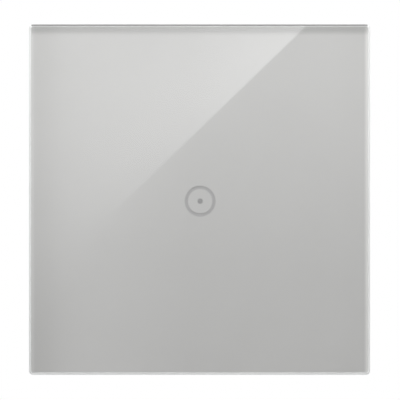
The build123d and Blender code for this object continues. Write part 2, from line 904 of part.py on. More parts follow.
def make_contact_bars():
    bars = []
    for side, end in terminal_places():
        middle = end * terminal_pitch / 2
        bar_x = (side * bar_inner, side * bar_outer)
        bar_z = (middle - bar_width / 2, middle + bar_width / 2)
        tail_z = (middle - bar_tail_width / 2, middle + bar_tail_width / 2)
        bar = box_between(bar_x, (board_back, chamber_back), bar_z)
        bars.append(bar + box_between(bar_x, (board_front - bar_tail, board_back), tail_z))
    return group(bars)


def make_terminal_clamp(side, end):
    """The rising cage of a terminal, open: the wire goes between its floor and the bar."""
    middle = end * terminal_pitch / 2
    half = clamp_width / 2
    x = (side * clamp_inner_x, side * clamp_outer_x)
    clamp = box_between(x, (clamp_front, clamp_back), (middle - half, middle + half))
    inner_x = (side * clamp_floor_x, side * clamp_roof_x)
    inner_half = half - clamp_side
    clamp -= box_between(inner_x, (clamp_front, clamp_back), (middle - inner_half, middle + inner_half))
    hole = terminal_screw_diameter + 2 * screw_clearance
    roof_x = (side * clamp_roof_x, side * clamp_outer_x)
    return clamp - rod_x(hole, *roof_x, terminal_screw_y, middle)


def make_terminal_screw(side, end):
    middle = end * terminal_pitch / 2
    y = terminal_screw_y
    screw = rod_x(terminal_head_diameter, side * head_inner, side * head_outer, y, middle)
    screw += rod_x(terminal_screw_diameter, side * (bar_outer + fit_gap), side * head_inner, y, middle)
    slot_x = (side * (head_outer - terminal_slot_depth), side * head_outer)
    slot_y = (y - terminal_slot_width / 2, y + terminal_slot_width / 2)
    reach = terminal_head_diameter / 2
    return screw - box_between(slot_x, slot_y, (middle - reach, middle + reach))


# Claws, drawn for the top and turned over for the bottom

def at_end(part, end):
    """The part as drawn for the top, or turned half round Y for the bottom."""
    return part if end > 0 else Rot(0, 180, 0) * part


def make_claw(end):
    half = claw_width / 2
    thick = claw_arm_thickness / 2
    hub = rod_x(claw_hub_diameter, -half, half, claw_pivot_y, claw_pivot_z)
    top = claw_screw_z + claw_short_reach
    short_y = (claw_pivot_y - thick, claw_pivot_y + thick)
    claw = hub + box_between((-half, half), short_y, (claw_pivot_z, top))
    tip = claw_pivot_y + claw_long_reach
    tooth_top = claw_pivot_z + thick + claw_tooth_height
    outline = [(claw_pivot_y, claw_pivot_z - thick), (tip, claw_pivot_z - thick), (tip, tooth_top)]
    for number in range(claw_tooth_count):
        outline.append((tip - (number + claw_tooth_slope) * claw_tooth_pitch, claw_pivot_z + thick))
        if number + 1 < claw_tooth_count:
            outline.append((tip - (number + 1) * claw_tooth_pitch, tooth_top))
    outline.append((claw_pivot_y, claw_pivot_z + thick))
    arm = Pos(-half, 0, 0) * extrude(Plane.YZ * Polygon(*outline, align=None), claw_width)
    claw += arm
    claw -= rod_x(claw_pin_diameter + 2 * screw_clearance, -half, half, claw_pivot_y, claw_pivot_z)
    slot_width = claw_screw_diameter + 2 * claw_side_gap
    slot = SlotOverall(slot_width + 2 * claw_slot_play, slot_width, rotation=90)
    claw -= slab(Pos(0, claw_screw_z) * slot, claw_pivot_y - thick, claw_pivot_y + thick)
    return at_end(claw, end)


def make_claw_screw(end):
    head_front = plate_front - claw_head_height
    tip = plate_front + claw_screw_length
    screw = rod_y(claw_head_diameter, head_front, plate_front, 0, claw_screw_z)
    screw += rod_y(claw_screw_diameter, plate_front, tip, 0, claw_screw_z)
    reach = cross_reach_share * claw_head_diameter
    slot_back = head_front + claw_cross_depth
    screw -= cross_slot(reach, claw_cross_width, head_front, slot_back, 0, claw_screw_z)
    return at_end(screw, end)


def make_claw_nut(end):
    """A half barrel with its round nose to the claw, pulled forward by the screw."""
    centre = claw_pivot_y + nose_reach
    half = claw_nut_width / 2
    nut = rod_x(2 * claw_nut_nose, -half, half, centre, claw_screw_z)
    back = (centre, centre + claw_nut_back)
    nut += box_between((-half, half), back, (claw_screw_z - claw_nut_nose, claw_screw_z + claw_nut_nose))
    nut -= rod_y(claw_screw_diameter + 2 * screw_clearance, centre - claw_nut_nose, back[1], 0, claw_screw_z)
    return at_end(nut, end)


def make_claw_pivot_pins():
    pins = []
    for end in (-1, 1):
        pins.append(rod_x(claw_pin_diameter, -lug_outer, lug_outer, claw_pivot_y, end * claw_pivot_z))
    return group(pins)


nodes = {
    "glass_panel": make_glass_panel(),
    "silver_print": make_silver_print(),
    "adhesive_tape": make_adhesive_tape(),
    "light_guide": make_light_guide(),
    "light_shroud": make_light_shroud(),
    "touch_electrode": make_touch_electrode(),
    "panel_carrier": make_panel_carrier(),
    "touch_board": make_touch_board(),
    "touch_chip": make_touch_chip(),
    "indicator_leds": make_indicator_leds(),
    "touch_board_passives": make_touch_board_passives(),
    "board_socket": make_board_socket(),
    "board_cover": make_board_cover(),
    "cover_screws": make_cover_screws(),
    "support_plate": make_support_plate(),
    "retaining_clips": make_retaining_clips(),
    "plate_screws": make_plate_screws(),
    "housing_lid": make_housing_lid(),
    "rear_housing": make_rear_housing(),
    "power_board": make_power_board(),
    "board_pins": make_board_pins(),
    "relay_base": make_relay_base(),
    "relay_case": make_relay_case(),
    "relay_yoke": make_relay_yoke(),
    "relay_core": make_relay_core(),
    "relay_bobbin": make_relay_bobbin(),
    "relay_winding": make_relay_winding(),
    "relay_fixed_contact": make_relay_fixed_contact(),
    "relay_armature": make_relay_armature(),
    "relay_contact_leaf": make_relay_contact_leaf(),
    "electrolytic_capacitor": make_electrolytic_capacitor(),
    "film_capacitor": make_film_capacitor(),
    "choke_core": make_choke_core(),
    "choke_winding": make_choke_winding(),
    "fuse": make_fuse(),
    "varistor": make_varistor(),
    "control_chip": make_control_chip(),
    "terminal_block_left": make_terminal_block(-1),
    "terminal_block_right": make_terminal_block(1),
    "contact_bars": make_contact_bars(),
    "claw_pivot_pins": make_claw_pivot_pins(),
    "claw_top": make_claw(1),
    "claw_bottom": make_claw(-1),
    "claw_screw_top": make_claw_screw(1),
    "claw_screw_bottom": make_claw_screw(-1),
    "claw_nut_top": make_claw_nut(1),
    "claw_nut_bottom": make_claw_nut(-1),
}
for number, (side, end) in enumerate(terminal_places(), start=1):
    nodes[f"terminal_screw_{number}"] = make_terminal_screw(side, end)
    nodes[f"terminal_clamp_{number}"] = make_terminal_clamp(side, end)

os.makedirs("parts", exist_ok=True)
for name, part in nodes.items():
    export_step(part, f"parts/{name}.step")

# The claw angle that the nut's travel gives, found by halving the interval
low_angle = 0.0
high_angle = radians(30)
for step in range(40):
    angle = (low_angle + high_angle) / 2
    travel = claw_lever * tan(angle) - nose_reach * (1 / cos(angle) - 1)
    if travel < claw_nut_travel:
        low_angle = angle
    else:
        high_angle = angle
print("claw angle", round(degrees(angle), 3), "at nut travel", claw_nut_travel)
print("claw ratio", round(angle / (claw_screw_turns * 2 * pi), 7))
print("terminal turns", terminal_turns, "wire place", round(wire_x, 3))
print("terminal screw y", round(terminal_screw_y, 3))
print("armature pivot", round(armature_pivot_y, 3), round(armature_pivot_z, 3))
print("front", round(glass_front, 3), "housing floor", housing_floor)
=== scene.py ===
import json
import math

import bmesh
import bpy
from mathutils import Matrix, Vector


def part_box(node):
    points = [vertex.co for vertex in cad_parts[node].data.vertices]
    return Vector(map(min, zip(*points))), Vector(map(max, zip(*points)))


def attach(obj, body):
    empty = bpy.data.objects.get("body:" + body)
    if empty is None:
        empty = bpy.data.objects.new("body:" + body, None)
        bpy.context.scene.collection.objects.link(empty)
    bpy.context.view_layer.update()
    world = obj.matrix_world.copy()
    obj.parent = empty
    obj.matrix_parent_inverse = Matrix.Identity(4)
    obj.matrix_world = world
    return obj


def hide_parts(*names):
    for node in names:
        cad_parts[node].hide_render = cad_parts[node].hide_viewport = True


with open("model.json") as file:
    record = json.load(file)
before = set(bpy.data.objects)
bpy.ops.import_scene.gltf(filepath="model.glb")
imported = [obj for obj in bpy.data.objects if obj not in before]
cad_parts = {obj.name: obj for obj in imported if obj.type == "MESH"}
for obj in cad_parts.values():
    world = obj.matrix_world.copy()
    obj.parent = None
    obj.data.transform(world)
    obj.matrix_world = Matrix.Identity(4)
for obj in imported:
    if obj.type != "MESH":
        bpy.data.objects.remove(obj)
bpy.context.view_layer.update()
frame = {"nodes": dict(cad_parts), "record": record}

nodes = frame["nodes"]
record = frame["record"]
slotOf = {part["node"]: part["material_slot"] for part in record["subparts"]}
bodyOf = {node: body for body, held in record["behaviour"]["bodies"].items() for node in held}
mm = 0.001
squarely = 0.9  # from this share on, a direction counts as along its axis
print("frame loaded:", len(nodes), "nodes")


# Working helpers

def only(piece):
    bpy.ops.object.select_all(action="DESELECT")
    piece.select_set(True)
    bpy.context.view_layer.objects.active = piece
    return piece


def editing(piece):
    only(piece)
    bpy.ops.object.mode_set(mode="EDIT")


def done():
    bpy.ops.object.mode_set(mode="OBJECT")


def pick(piece, kind, wanted):  # in edit mode, selects only the faces or edges that wanted() says yes to
    bpy.ops.mesh.select_mode(type="FACE" if kind == "faces" else "EDGE")
    bpy.ops.mesh.select_all(action="DESELECT")
    mesh = bmesh.from_edit_mesh(piece.data)
    for item in getattr(mesh, kind):
        if wanted(item):
            item.select_set(True)
    bmesh.update_edit_mesh(piece.data)


def applied(piece, *kinds):  # adds and applies modifiers, each given as its type and settings
    only(piece)
    for kind, settings in kinds:
        added = piece.modifiers.new(kind.title(), kind)
        for key, value in settings.items():
            setattr(added, key, value)
        bpy.ops.object.modifier_apply(modifier=added.name)
    return piece


def smooth(piece, degrees=35):
    only(piece)
    bpy.ops.object.shade_smooth_by_angle(angle=math.radians(degrees))
    return piece


def settle(piece, name, *node, finish=None):  # names the piece and gives it its body, slot and finish
    piece.name = name
    piece.data.name = name
    only(piece)
    bpy.ops.object.transform_apply(location=True, rotation=True, scale=True)
    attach(piece, bodyOf[node[0]])
    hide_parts(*node)
    if finish is not False:
        piece.data.materials.clear()
        piece.data.materials.append(finish or finishes[slotOf[node[0]]])
    return piece


def faced(piece, finish, wanted):  # a second finish on the faces that wanted() says yes to
    piece.data.materials.append(finish)
    for face in piece.data.polygons:
        if wanted(face):
            face.material_index = len(piece.data.materials) - 1


def twin(piece):  # a copy with its own mesh
    copy = bpy.data.objects.new(piece.name + "Copy", piece.data.copy())
    bpy.context.scene.collection.objects.link(copy)
    return copy


def joined(pieces):
    only(pieces[0])
    for other in pieces[1:]:
        other.select_set(True)
    bpy.ops.object.join()
    return pieces[0]


# Camera, level with the middle of the glass and far off, so that its sides hardly show

view = {"away": 1.6, "lens": 554.6, "sensor": 36.0, "aimX": 0.00013, "aimZ": -0.0001}
bpy.ops.object.camera_add(location=(view["aimX"], -view["away"], view["aimZ"]), rotation=(math.pi / 2, 0, 0))
camera = bpy.context.active_object
camera.data.lens = view["lens"]
camera.data.sensor_width = view["sensor"]
camera.data.clip_start = 0.01
camera.data.clip_end = 20
bpy.context.scene.camera = camera
bpy.context.scene.view_settings.view_transform = "Standard"


# Node helpers

class Tree:  # the nodes of a material, or of the world, with short ways to add and join them
    def __init__(self, owner):
        named = isinstance(owner, str)
        self.owner = bpy.data.materials.new(owner) if named else owner
        self.owner.use_nodes = True
        self.tree = self.owner.node_tree
        self.tree.nodes.clear()
        self.out = self.tree.nodes.new("ShaderNodeOutputMaterial" if named else "ShaderNodeOutputWorld")

    def add(self, kind, **inputs):
        node = self.tree.nodes.new("ShaderNode" + kind)
        for name, value in inputs.items():
            self.give(node, name.replace("_", " "), value)
        return node

    def give(self, node, name, value):
        if isinstance(value, bpy.types.NodeSocket):
            self.tree.links.new(value, node.inputs[name])
        else:
            node.inputs[name].default_value = value

    def place(self, scale=(1, 1, 1), turn=(0, 0, 0)):
        coords = self.add("TexCoord").outputs["Object"]
        return self.add("Mapping", Vector=coords, Scale=scale, Rotation=turn).outputs["Vector"]

    def noise(self, scale, detail=3.0, spot=None, rough=0.5):
        where = spot or self.add("TexCoord").outputs["Object"]
        return self.add("TexNoise", Vector=where, Scale=scale, Detail=detail, Roughness=rough).outputs["Fac"]

    def ramp(self, source, stops):
        node = self.add("ValToRGB", Fac=source)
        band = node.color_ramp
        band.elements[0].position, band.elements[0].color = stops[0][0], (*stops[0][1], 1)
        band.elements[1].position, band.elements[1].color = stops[-1][0], (*stops[-1][1], 1)
        for at, colour in stops[1:-1]:
            band.elements.new(at).color = (*colour, 1)
        return node.outputs["Color"]

    def spread(self, source, low, high, start=0.3, end=0.7, eased=False):
        node = self.add("MapRange", Value=source)
        if eased:
            node.interpolation_type = "SMOOTHSTEP"
        for name, value in (("From Min", start), ("From Max", end), ("To Min", low), ("To Max", high)):
            node.inputs[name].default_value = value
        return node.outputs["Result"]

    def sum(self, kind, first, second):  # one sum on two values
        node = self.add("Math", Value=first)
        node.operation = kind
        self.give(node, 1, second)
        return node.outputs[0]

    def scaled(self, colour, gain):
        node = self.add("VectorMath", Vector=colour)
        node.operation = "SCALE"
        self.give(node, "Scale", gain)
        return node.outputs["Vector"]

    def bump(self, height, depth, strength=0.5, over=None):  # depth in millimetres
        node = self.add("Bump", Height=height)
        node.inputs["Strength"].default_value = strength
        node.inputs["Distance"].default_value = depth * mm
        if over:
            self.give(node, "Normal", over)
        return node.outputs["Normal"]

    def mixed(self, share, first, second):
        node = self.add("MixShader", Fac=share)
        for place, part in ((1, first), (2, second)):
            self.tree.links.new(part.outputs[0], node.inputs[place])
        return node

    def shader(self, **inputs):
        shader = self.add("BsdfPrincipled")
        for name, value in inputs.items():
            self.give(shader, name.replace("_", " "), value)
        return shader

    def close(self, shader):
        self.tree.links.new(shader.outputs[0], self.out.inputs["Surface"])
        return self.owner


def tint(colour, change):
    return tuple(min(1.0, max(0.0, c * change)) for c in colour)


plasticSkin = {"cloud": 180, "grain": 5200, "depth": 0.03, "strength": 0.35, "specular": 0.45, "spread": 0.06}


def moulded(name, look):  # plastics: slight cloudiness, spark-eroded grain and uneven gloss
    t = Tree(name)
    look = {**plasticSkin, **look}
    cloud = t.noise(look["cloud"], 4)
    grain = t.noise(look["grain"], 2, rough=0.6)
    base, spread = look["colour"], look["spread"]
    colour = t.ramp(cloud, [(0.3, tint(base, 1 - spread)), (0.7, tint(base, 1 + spread))])
    gloss = t.spread(cloud, look["rough"] - 0.04, look["rough"] + 0.05)
    shade = t.bump(grain, look["depth"], look["strength"])
    shader = t.shader(Base_Color=colour, Roughness=gloss, Normal=shade)
    shader.inputs["Specular IOR Level"].default_value = look["specular"]
    return t.close(shader)


metalSkin = {"streak": 900, "stretch": (1, 1, 0.08), "streakDepth": 0.03, "stain": 260, "tooth": 6500,
             "depth": 0.02, "spread": 0.1}


def metal(name, look):  # metals: drawn or rolled streaks over a fine tooth, duller where it is stained
    t = Tree(name)
    look = {**metalSkin, **look}
    streak = t.noise(look["streak"], 4, t.place(look["stretch"]), 0.6)
    stain = t.noise(look["stain"], 4)
    tooth = t.noise(look["tooth"], 2)
    base, spread = look["colour"], look["spread"]
    colour = t.ramp(stain, [(0.25, tint(base, 1 - spread)), (0.55, base), (0.8, tint(base, 1 + spread))])
    gloss = t.spread(streak, look["rough"] - 0.07, look["rough"] + 0.08)
    shade = t.bump(tooth, look["depth"], 0.25, t.bump(streak, look["streakDepth"], 0.2))
    shader = t.shader(Base_Color=colour, Roughness=gloss, Normal=shade)
    shader.inputs["Metallic"].default_value = 1.0
    return t.close(shader)


def galvanised(name, look):  # hot-dipped sheet: large flat crystals, each a little lighter or duller
    t = Tree(name)
    crystals = t.add("TexVoronoi", Vector=t.place(turn=(0.2, 0.1, 0.4)), Scale=look["crystals"])
    shadeOfCell = t.add("SeparateColor", Color=crystals.outputs["Color"]).outputs[0]
    wear = t.noise(700, 4)
    colour = t.ramp(shadeOfCell, [(0.0, look["dark"]), (0.5, look["colour"]), (1.0, look["light"])])
    gloss = t.spread(shadeOfCell, look["rough"] + 0.1, look["rough"] - 0.06, 0, 1)
    shade = t.bump(wear, 0.02, 0.3, t.bump(shadeOfCell, 0.02, 0.12))
    shader = t.shader(Base_Color=colour, Roughness=gloss, Normal=shade)
    shader.inputs["Metallic"].default_value = 0.9
    return t.close(shader)


def circuitBoard(name, look):  # solder resist over copper: tracks show as slightly lighter runs
    t = Tree(name)
    runs = t.add("TexBrick", Vector=t.place((1, 1, 1), (math.pi / 2, 0, 0)), Scale=260.0)
    for socket, value in (("Mortar Size", 0.12), ("Mortar Smooth", 0.0), ("Brick Width", 1.1),
                          ("Row Height", 0.42)):
        runs.inputs[socket].default_value = value
    patches = t.spread(t.noise(140, 2), 0, 1, 0.48, 0.52)
    track = t.sum("MULTIPLY", runs.outputs["Fac"], patches)
    colour = t.ramp(track, [(0.0, look["colour"]), (1.0, look["track"])])
    shade = t.bump(track, 0.04)
    gloss = t.spread(t.noise(900), 0.24, 0.38)
    return t.close(t.shader(Base_Color=colour, Roughness=gloss, Normal=shade))


def capped(name, look):  # small ceramic bodies in a row along X, each with tinned ends
    t = Tree(name)
    x = t.add("SeparateXYZ", Vector=t.add("TexCoord").outputs["Object"]).outputs["X"]
    pitch = look["pitch"] * mm
    fromMiddle = t.sum("PINGPONG", t.sum("SUBTRACT", x, look["first"] * mm), pitch / 2)
    cap = t.sum("GREATER_THAN", fromMiddle, look["body"] * mm)
    cloud = t.noise(900)
    plain = t.ramp(cloud, [(0.3, tint(look["colour"], 0.9)), (0.7, tint(look["colour"], 1.1))])
    tinny = t.ramp(cloud, [(0.3, tint(look["cap"], 0.92)), (0.7, look["cap"])])
    colour = t.add("Mix", Factor=cap)
    colour.data_type = "RGBA"  # its colour inputs are 6 and 7, and its colour output is 2
    t.give(colour, 6, plain)
    t.give(colour, 7, tinny)
    gloss = t.spread(cloud, 0.32, 0.46)
    return t.close(t.shader(Base_Color=colour.outputs[2], Roughness=gloss, Metallic=cap))


def foam(name, look):  # cell foam: open pores
    t = Tree(name)
    cells = t.add("TexVoronoi", Vector=t.place(), Scale=look["cells"]).outputs["Distance"]
    colour = t.ramp(cells, [(0.05, tint(look["colour"], 0.5)), (0.45, look["colour"])])
    shade = t.bump(cells, 0.12, 0.6)
    shader = t.shader(Base_Color=colour, Normal=shade)
    shader.inputs["Roughness"].default_value = 0.9
    return t.close(shader)


def wound(name, look):  # enamelled wire: fine turns round an axis along Y
    t = Tree(name)
    turns = t.add("TexWave", Vector=t.place(turn=(0, 0, math.pi / 2)), Scale=look["turns"]).outputs["Fac"]
    colour = t.ramp(turns, [(0.1, tint(look["colour"], 0.45)), (0.6, look["colour"])])
    shade = t.bump(turns, 0.08, 0.8)
    gloss = t.spread(t.noise(500), 0.2, 0.34)
    shader = t.shader(Base_Color=colour, Roughness=gloss, Normal=shade)
    shader.inputs["Metallic"].default_value = 0.85
    return t.close(shader)


def printed(name, look):  # fired silver-grey paint behind the glass, with painted shade along its top edge and painted light along its sides
    t = Tree(name)
    flake = t.noise(look["flakes"], 2, rough=0.7)
    cloud = t.noise(look["cloud"], 3)
    base = look["colour"]
    fine = t.ramp(flake, [(0.3, tint(base, 0.985)), (0.7, tint(base, 1.015))])
    soft = t.spread(cloud, 0.985, 1.0)
    spot = t.add("SeparateXYZ", Vector=t.add("TexCoord").outputs["Object"])
    for axis, start, end, change in look["borders"]:  # painted shade or painted light: the tone changes between two places along an axis
        soft = t.sum("MULTIPLY", soft, t.spread(spot.outputs[axis], 1.0, change, start * mm, end * mm, True))
    shader = t.shader(Base_Color=t.scaled(fine, soft), Normal=t.bump(flake, 0.01, 0.15))
    shader.inputs["Roughness"].default_value = look["rough"]
    shader.inputs["Specular IOR Level"].default_value = look["specular"]
    return t.close(shader)


def clearGlass(name, look):  # tempered glass; lamps and daylight go straight through to the print
    t = Tree(name)
    cast = t.ramp(t.noise(40, 1), [(0.4, look["colour"]), (0.6, tint(look["colour"], 0.99))])
    glass = t.shader(Base_Color=cast)
    for socket, value in (("Roughness", look["rough"]), ("IOR", look["ior"]),
                          ("Transmission Weight", look.get("clear", 1.0))):
        glass.inputs[socket].default_value = value
    if look.get("grain"):
        t.give(glass, "Normal", t.bump(t.noise(look["grain"], 2), 0.03, 0.3))
    path = t.add("LightPath")
    either = t.sum("MAXIMUM", path.outputs["Is Shadow Ray"], path.outputs["Is Diffuse Ray"])
    return t.close(t.mixed(either, glass, t.add("BsdfTransparent")))


finishes = {
    "clear_glass": clearGlass("clearGlass", {"colour": (0.985, 0.995, 0.99), "rough": 0.0, "ior": 1.5}),
    "silver_print": printed("silverPrint", {
        "colour": (0.503, 0.5, 0.4935), "flakes": 9000, "cloud": 60, "rough": 0.6, "specular": 0.1,
        # painted shade along the top edge, painted light along the left and right edges
        "borders": [("Z", 42.1, 43.9, 0.73), ("X", -42.3, -43.2, 1.14), ("X", 42.35, 43.35, 1.33)]}),
    "tape_foam": foam("tapeFoam", {"colour": (0.12, 0.12, 0.12), "cells": 5200}),
    "clear_plastic": moulded("milkyGuide", {"colour": (0.354, 0.346, 0.35), "rough": 0.35, "spread": 0.02}),
    "black_plastic": moulded("blackPlastic", {"colour": (0.03, 0.03, 0.032), "rough": 0.45, "spread": 0.2}),
    "carbon_foam": foam("carbonFoam", {"colour": (0.05, 0.05, 0.052), "cells": 3800}),
    "carrier_plastic": moulded("carrierPlastic", {"colour": (0.74, 0.74, 0.72), "rough": 0.5,
                                                  "spread": 0.03}),
    "circuit_board": circuitBoard("circuitBoard", {"colour": (0.03, 0.17, 0.08), "track": (0.07, 0.3, 0.13)}),
    "led_plastic": moulded("lampResin", {"colour": (0.88, 0.8, 0.42), "rough": 0.25, "spread": 0.05}),
    "tan_ceramic": capped("tanCeramic", {"colour": (0.45, 0.35, 0.25), "cap": (0.6, 0.6, 0.58),
                                         "first": -13.0, "pitch": 3.0, "body": 0.65}),
    "zinc_screw": metal("zincScrew", {"colour": (0.7, 0.71, 0.73), "rough": 0.3}),
    "galvanised_plate": galvanised("galvanisedPlate", {"crystals": 420, "dark": (0.52, 0.54, 0.56),
                                                       "colour": (0.58, 0.6, 0.62),
                                                       "light": (0.65, 0.67, 0.69), "rough": 0.4}),
    "spring_steel": metal("springSteel", {"colour": (0.52, 0.5, 0.47), "rough": 0.26}),
    "lid_plastic": moulded("lidPlastic", {"colour": (0.3, 0.31, 0.32), "rough": 0.5}),
    "housing_plastic": moulded("housingPlastic", {"colour": (0.13, 0.135, 0.14), "rough": 0.48}),
    "brass": metal("drawnBrass", {"colour": (0.78, 0.6, 0.28), "rough": 0.28}),
    "relay_plastic": moulded("relayPlastic", {"colour": (0.03, 0.1, 0.32), "rough": 0.35}),
    "soft_iron": metal("softIron", {"colour": (0.54, 0.55, 0.56), "rough": 0.34}),
    "copper_wire": wound("copperWire", {"colour": (0.72, 0.36, 0.18), "turns": 1600}),
    "capacitor_sleeve": moulded("capacitorSleeve", {"colour": (0.05, 0.06, 0.12), "rough": 0.28}),
    "film_plastic": moulded("filmCapacitor", {"colour": (0.75, 0.58, 0.1), "rough": 0.3}),
    "ferrite": moulded("pressedFerrite", {"colour": (0.1, 0.1, 0.105), "rough": 0.62, "grain": 3000}),
    "varistor_coat": moulded("varistorCoat", {"colour": (0.06, 0.16, 0.42), "rough": 0.3}),
    "terminal_plastic": moulded("terminalPlastic", {"colour": (0.55, 0.56, 0.55), "rough": 0.46}),
    "claw_steel": metal("clawSteel", {"colour": (0.56, 0.57, 0.58), "rough": 0.36, "spread": 0.14}),
}
edges = {"ground": {"colour": (0.93, 0.94, 0.935), "rough": 0.45, "ior": 1.6, "grain": 6000, "clear": 0.12},
         # the upper front edge: a polish, and a darker tint that is painted shade
         "polished": {"colour": (0.75, 0.76, 0.76), "rough": 0.0, "ior": 1.5},
         "printRim": {"colour": (0.5, 0.5, 0.5), "rough": 0.35, "ior": 1.5, "clear": 0.3}}
groundEdge, polishedShadedEdge, printRim = [clearGlass(name + "Glass", look) for name, look in edges.items()]
for node, piece in nodes.items():
    for place in piece.material_slots:
        place.material = finishes[slotOf[node]]
print("finishes made:", len(finishes))


# Glass front: rounded corners, then a chamfer all round both faces

glass = {"corner": 1.0, "cornerSteps": 6, "chamfer": 0.5, "sunk": 0.02, "strip": 0.12, "shaded": 25,
         "upward": 0.6, "outward": 0.4}  # a face that points further up and out than this has a polish and a darker tint, which is painted shade
low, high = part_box("glass_panel")
size = high - low
bpy.ops.object.select_all(action="DESELECT")
bpy.ops.mesh.primitive_cube_add(size=1, location=(low + high) / 2, scale=size)
panel = bpy.context.active_object
only(panel)
bpy.ops.object.transform_apply(location=True, rotation=True, scale=True)
editing(panel)
pick(panel, "edges", lambda e: abs((e.verts[0].co - e.verts[1].co).normalized().y) > squarely)
bpy.ops.mesh.bevel(offset=glass["corner"] * mm, segments=glass["cornerSteps"])
pick(panel, "edges", lambda e: sum(abs(f.normal.y) > squarely for f in e.link_faces) == 1)
bpy.ops.mesh.bevel(offset=glass["chamfer"] * mm * math.sqrt(2), offset_type="WIDTH", segments=1)
pick(panel, "faces", lambda f: f.normal.y > squarely)
bpy.ops.transform.translate(value=(0, glass["sunk"] * mm, 0))
bpy.ops.mesh.inset(thickness=glass["strip"] * mm, use_boundary=True)
done()
for finish in (finishes["clear_glass"], groundEdge, polishedShadedEdge, printRim):
    panel.data.materials.append(finish)
for face in panel.data.polygons:  # ground all round, but for the upper edge of the front, which has a polish and a darker tint as painted shade
    upper = face.normal.z > glass["upward"] and -face.normal.y > glass["outward"]
    flat = abs(face.normal.y) > squarely
    face.material_index = (3 if len(face.vertices) == 4 else 0) if flat else 2 if upper else 1
smooth(panel, glass["shaded"])
settle(panel, "glassFront", "glass_panel", finish=False)
print("glass made")


# Moulded and pressed parts: the CAD shape with its edges broken

breaking = {"sharp": 40, "shaded": 30, "level": 0.5, "coplanar": 1,  # angles in degrees
            "weld": 0.002, "flat": 0.3}  # millimetres: points nearer than weld join, wider faces stay flat


def softened(node, edge, steps=2):
    piece = bpy.data.objects.new(node + "Shape", nodes[node].data.copy())
    bpy.context.scene.collection.objects.link(piece)
    editing(piece)
    bpy.ops.mesh.select_all(action="SELECT")
    bpy.ops.mesh.customdata_custom_splitnormals_clear()
    bpy.ops.mesh.remove_doubles(threshold=breaking["weld"] * mm)
    bpy.ops.mesh.dissolve_limited(angle_limit=math.radians(breaking["coplanar"]))
    done()
    applied(piece, ("BEVEL", {"width": edge * mm, "segments": steps, "limit_method": "ANGLE",
                              "angle_limit": math.radians(breaking["sharp"]), "use_clamp_overlap": True}))
    smooth(piece, breaking["shaded"])
    editing(piece)
    flat = breaking["flat"] * mm
    pick(piece, "faces", lambda f: len(f.verts) > 4 or f.calc_area() > flat * f.calc_perimeter())
    bpy.ops.mesh.faces_shade_flat()  # the large faces stay flat beside their broken edges
    bpy.ops.mesh.quads_convert_to_tris(quad_method="BEAUTY", ngon_method="BEAUTY")
    bpy.ops.mesh.beautify_fill(angle_limit=math.radians(breaking["level"]))
    done()
    name = "".join(word.title() if number else word for number, word in enumerate(node.split("_")))
    return settle(piece, name, node)


broken = {  # radius of the broken edges, in millimetres
    "panel_carrier": 0.2, "board_cover": 0.15, "support_plate": 0.08, "housing_lid": 0.15,
    "rear_housing": 0.2, "claw_top": 0.12, "claw_bottom": 0.12, "claw_nut_top": 0.15, "claw_nut_bottom": 0.15,
    "terminal_block_left": 0.15, "terminal_block_right": 0.15, "retaining_clips": 0.05,
    "board_socket": 0.1, "relay_case": 0.2, "relay_base": 0.15, "relay_yoke": 0.08, "light_shroud": 0.12,
    **{f"terminal_clamp_{number}": 0.1 for number in (1, 2, 3, 4)},
    "contact_bars": 0.06, "fuse": 0.3, "film_capacitor": 0.3, "varistor": 0.5, "board_pins": 0.08,
    "claw_pivot_pins": 0.12, "choke_core": 0.12, "relay_bobbin": 0.08,
}
for node, edge in broken.items():
    softened(node, edge)
tinned = metal("tinnedLead", {"colour": (0.62, 0.62, 0.6), "rough": 0.32})
chips = {"touch_chip": {"middle": (9.0, 8.0), "legs": "z", "body": 1.97},
         "control_chip": {"middle": (8.55, 0.0), "legs": "x", "body": 1.97}}
chipEdge = 0.05
for node, look in chips.items():  # the legs stand out along one axis and are tinned beyond the body
    chip = softened(node, chipEdge, 1)
    x, z = (c * mm for c in look["middle"])
    body = look["body"] * mm
    faced(chip, tinned, lambda f: abs(f.center.z - z if look["legs"] == "z" else f.center.x - x) > body)
print("moulded and pressed parts made:", len(broken) + len(chips))


# Screws, turned ring by ring from a disc, then given their drive
# A profile holds pairs of height and radius in millimetres, and a hollow one closes on itself.

def turned(profile, sides=32, hollow=False):
    bpy.ops.object.select_all(action="DESELECT")
    at, wide = profile[0]
    bpy.ops.mesh.primitive_circle_add(vertices=sides, radius=wide * mm, location=(0, 0, at * mm),
                                      fill_type="NOTHING" if hollow else "NGON")
    piece = bpy.context.active_object
    editing(piece)
    bpy.ops.mesh.select_mode(type="VERT")
    bpy.ops.mesh.select_all(action="SELECT")
    for height, radius in profile[1:]:
        bpy.ops.mesh.extrude_region_move(TRANSFORM_OT_translate={"value": (0, 0, (height - at) * mm)})
        if radius != wide:
            bpy.ops.transform.resize(value=(radius / wide, radius / wide, 1),
                                     center_override=(0, 0, height * mm))
        at, wide = height, radius
    bpy.ops.mesh.select_all(action="SELECT")
    bpy.ops.mesh.remove_doubles(threshold=0.001 * mm)
    bpy.ops.mesh.normals_make_consistent(inside=False)
    done()
    only(piece)
    bpy.ops.object.transform_apply(location=True, rotation=True, scale=True)
    return piece


def threaded(start, end, crest, root, pitch):  # rings with a crest from 0.3 to 0.45 of each turn
    rings = [(start, root)]
    for turn in range(int((end - start) / pitch)):
        base = start + turn * pitch
        rings += [(base + pitch * 0.3, crest), (base + pitch * 0.45, crest), (base + pitch * 0.75, root)]
    return rings


def cut(piece, *cutters):
    for cutter in cutters:
        applied(piece, ("BOOLEAN", {"object": cutter, "operation": "DIFFERENCE", "solver": "EXACT"}))
        bpy.data.objects.remove(cutter)
    return piece


